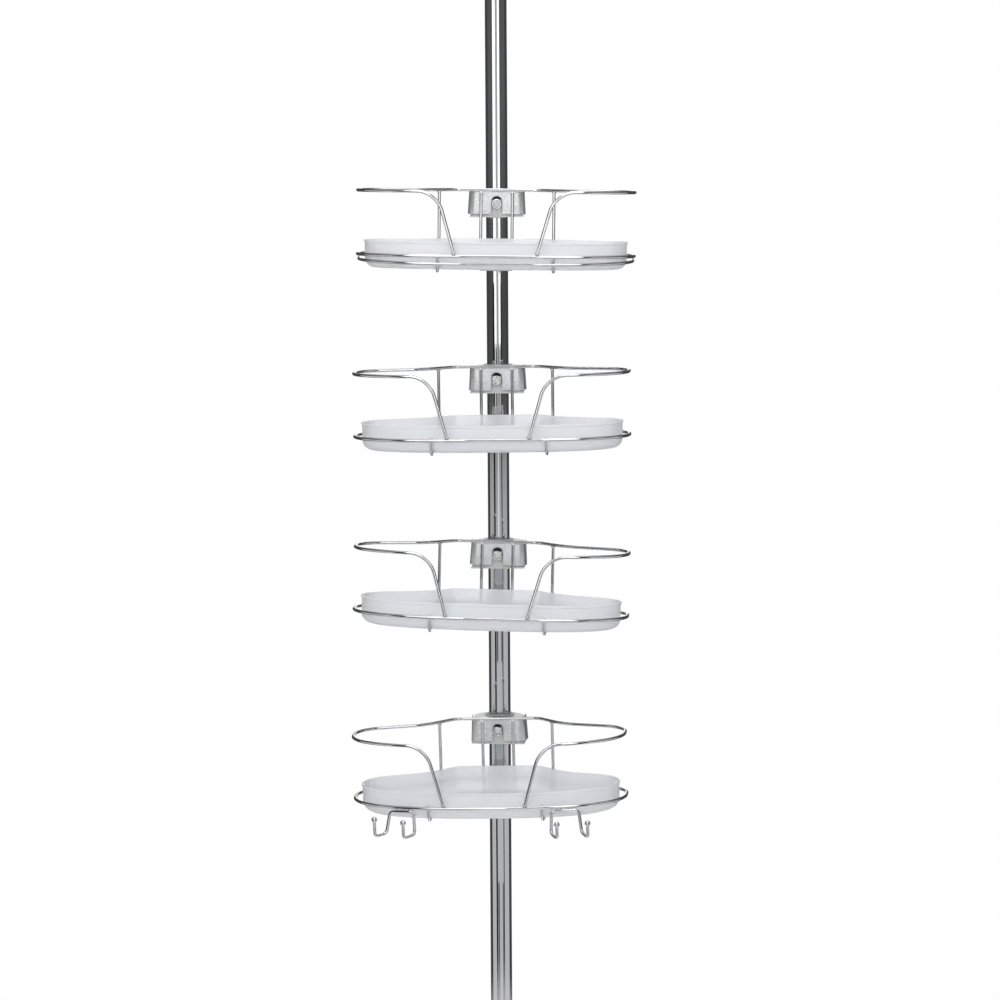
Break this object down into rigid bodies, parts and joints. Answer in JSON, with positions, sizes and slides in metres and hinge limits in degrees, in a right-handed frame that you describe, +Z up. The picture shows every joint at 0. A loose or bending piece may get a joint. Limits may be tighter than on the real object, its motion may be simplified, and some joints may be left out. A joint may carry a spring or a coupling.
{
  "type": "shower caddy",
  "caption": "Tall telescoping pole with round-ended wire shelves that hang on wedge clamps, each holding a loose frosted tray; the lowest shelf has small hooks.",
  "frame": {"origin": "centre of the foot pad's underside, on the pole's axis", "axes": "+Z up along the pole, the shelves reach out towards -Y, +X to the right seen from the front"},
  "size_m": [0.3266, 0.2517, 1.9563],
  "materials": {
    "chrome": "bright chrome plate",
    "satin_steel": "satin silver plate",
    "zinc": "bright zinc plate",
    "spring_steel": "oiled spring steel",
    "frosted_plastic": "frosted, translucent",
    "grey_plastic": "moulded, fine texture",
    "white_plastic": "moulded, semi-gloss",
    "rubber": "matt"
  },
  "bodies": {
    "pole": {"lower_tube": "chrome", "foot_cup": "white_plastic", "foot_pad": "rubber", "lock_collar": "white_plastic"},
    "mast": {"upper_tube": "chrome", "tube_cap": "white_plastic", "spring_seat": "grey_plastic", "spring": "spring_steel"},
    "ceiling_foot": {"ceiling_stem": "satin_steel", "ceiling_cup": "white_plastic", "ceiling_pad": "rubber"},
    "lock_screw": {"lock_screw": "white_plastic"},
    "shelf1_bush": {"shelf1_grip_bush": "rubber"},
    "shelf1_clamp": {"shelf1_clamp_block": "grey_plastic", "shelf1_clamp_nut": "zinc"},
    "shelf1_screw": {"shelf1_clamp_screw": "zinc"},
    "shelf1_frame": {"shelf1_hanger_plate": "satin_steel", "shelf1_top_rail": "chrome", "shelf1_tray_ring": "chrome", "shelf1_floor_wire_left": "chrome", "shelf1_floor_wire_right": "chrome", "shelf1_inner_wire": "chrome", "shelf1_front_hoop": "chrome"},
    "shelf1_tray_body": {"shelf1_tray": "frosted_plastic"},
    "shelf2_bush": {"shelf2_grip_bush": "rubber"},
    "shelf2_clamp": {"shelf2_clamp_block": "grey_plastic", "shelf2_clamp_nut": "zinc"},
    "shelf2_screw": {"shelf2_clamp_screw": "zinc"},
    "shelf2_frame": {"shelf2_hanger_plate": "satin_steel", "shelf2_top_rail": "chrome", "shelf2_tray_ring": "chrome", "shelf2_floor_wire_left": "chrome", "shelf2_floor_wire_right": "chrome", "shelf2_inner_wire": "chrome"},
    "shelf2_tray_body": {"shelf2_tray": "frosted_plastic"},
    "shelf3_bush": {"shelf3_grip_bush": "rubber"},
    "shelf3_clamp": {"shelf3_clamp_block": "grey_plastic", "shelf3_clamp_nut": "zinc"},
    "shelf3_screw": {"shelf3_clamp_screw": "zinc"},
    "shelf3_frame": {"shelf3_hanger_plate": "satin_steel", "shelf3_top_rail": "chrome", "shelf3_tray_ring": "chrome", "shelf3_floor_wire_left": "chrome", "shelf3_floor_wire_right": "chrome", "shelf3_inner_wire": "chrome"},
    "shelf3_tray_body": {"shelf3_tray": "frosted_plastic"},
    "shelf4_bush": {"shelf4_grip_bush": "rubber"},
    "shelf4_clamp": {"shelf4_clamp_block": "grey_plastic", "shelf4_clamp_nut": "zinc"},
    "shelf4_screw": {"shelf4_clamp_screw": "zinc"},
    "shelf4_frame": {"shelf4_hanger_plate": "satin_steel", "shelf4_top_rail": "chrome", "shelf4_tray_ring": "chrome", "shelf4_floor_wire_left": "chrome", "shelf4_floor_wire_right": "chrome", "shelf4_inner_wire": "chrome", "shelf4_hook_wire_left": "chrome", "shelf4_hook_wire_right": "chrome"},
    "shelf4_tray_body": {"shelf4_tray": "frosted_plastic"}
  },
  "joints": [
    {"name": "pole_extend", "type": "slide", "parent": "pole", "child": "mast", "axis": [0, 0, 1], "range_m": [-0.45, 0.4]},
    {"name": "ceiling_plunge", "type": "slide", "parent": "mast", "child": "ceiling_foot", "axis": [0, 0, 1], "range_m": [-0.03, 0], "stiffness_N_per_m": 3000, "springref_m": 0.01, "deforming": ["spring"]},
    {"name": "lock_screw_turn", "type": "hinge", "parent": "pole", "child": "lock_screw", "pos_m": [0, -0.02, 1.408], "axis": [0, -1, 0], "range_deg": [0, 360]},
    {"name": "shelf1_height", "type": "slide", "parent": "pole", "child": "shelf1_bush", "axis": [0, 0, 1], "range_m": [-0.02, 0.25]},
    {"name": "shelf1_swivel", "type": "hinge", "parent": "shelf1_bush", "child": "shelf1_clamp", "pos_m": [0, 0, 1.065], "axis": [0, 0, 1], "continuous": true},
    {"name": "shelf1_screw_turn", "type": "hinge", "parent": "shelf1_clamp", "child": "shelf1_screw", "pos_m": [0, 0, 1.049], "axis": [-0.0052, -1, 0], "range_deg": [0, 360]},
    {"name": "shelf1_lift_off", "type": "slide", "parent": "shelf1_clamp", "child": "shelf1_frame", "axis": [0, 0, 1], "range_m": [0, 0.034]},
    {"name": "shelf1_tray_lift", "type": "slide", "parent": "shelf1_frame", "child": "shelf1_tray_body", "axis": [0.0157, -0.0001, 0.9999], "range_m": [0, 0.09]},
    {"name": "shelf2_height", "type": "slide", "parent": "pole", "child": "shelf2_bush", "axis": [0, 0, 1], "range_m": [-0.02, 0.02]},
    {"name": "shelf2_swivel", "type": "hinge", "parent": "shelf2_bush", "child": "shelf2_clamp", "pos_m": [0, 0, 0.8615], "axis": [0, 0, 1], "continuous": true},
    {"name": "shelf2_screw_turn", "type": "hinge", "parent": "shelf2_clamp", "child": "shelf2_screw", "pos_m": [0, 0, 0.8455], "axis": [-0.0593, -0.9982, 0], "range_deg": [0, 360]},
    {"name": "shelf2_lift_off", "type": "slide", "parent": "shelf2_clamp", "child": "shelf2_frame", "axis": [0, 0, 1], "range_m": [0, 0.034]},
    {"name": "shelf2_tray_lift", "type": "slide", "parent": "shelf2_frame", "child": "shelf2_tray_body", "axis": [-0.007, 0.0004, 1], "range_m": [0, 0.09]},
    {"name": "shelf3_height", "type": "slide", "parent": "pole", "child": "shelf3_bush", "axis": [0, 0, 1], "range_m": [-0.02, 0.02]},
    {"name": "shelf3_swivel", "type": "hinge", "parent": "shelf3_bush", "child": "shelf3_clamp", "pos_m": [0, 0, 0.657], "axis": [0, 0, 1], "continuous": true},
    {"name": "shelf3_screw_turn", "type": "hinge", "parent": "shelf3_clamp", "child": "shelf3_screw", "pos_m": [0, 0, 0.641], "axis": [-0.068, -0.9977, 0], "range_deg": [0, 360]},
    {"name": "shelf3_lift_off", "type": "slide", "parent": "shelf3_clamp", "child": "shelf3_frame", "axis": [0, 0, 1], "range_m": [0, 0.034]},
    {"name": "shelf3_tray_lift", "type": "slide", "parent": "shelf3_frame", "child": "shelf3_tray_body", "axis": [0.0277, 0.0209, 0.9994], "range_m": [0, 0.09]},
    {"name": "shelf4_height", "type": "slide", "parent": "pole", "child": "shelf4_bush", "axis": [0, 0, 1], "range_m": [-0.25, 0.02]},
    {"name": "shelf4_swivel", "type": "hinge", "parent": "shelf4_bush", "child": "shelf4_clamp", "pos_m": [0, 0, 0.45], "axis": [0, 0, 1], "continuous": true},
    {"name": "shelf4_screw_turn", "type": "hinge", "parent": "shelf4_clamp", "child": "shelf4_screw", "pos_m": [0, 0, 0.434], "axis": [-0.1011, -0.9949, 0], "range_deg": [0, 360]},
    {"name": "shelf4_lift_off", "type": "slide", "parent": "shelf4_clamp", "child": "shelf4_frame", "axis": [0, 0, 1], "range_m": [0, 0.034]},
    {"name": "shelf4_tray_lift", "type": "slide", "parent": "shelf4_frame", "child": "shelf4_tray_body", "axis": [-0.0226, -0.0152, 0.9996], "range_m": [0, 0.09]}
  ]
}
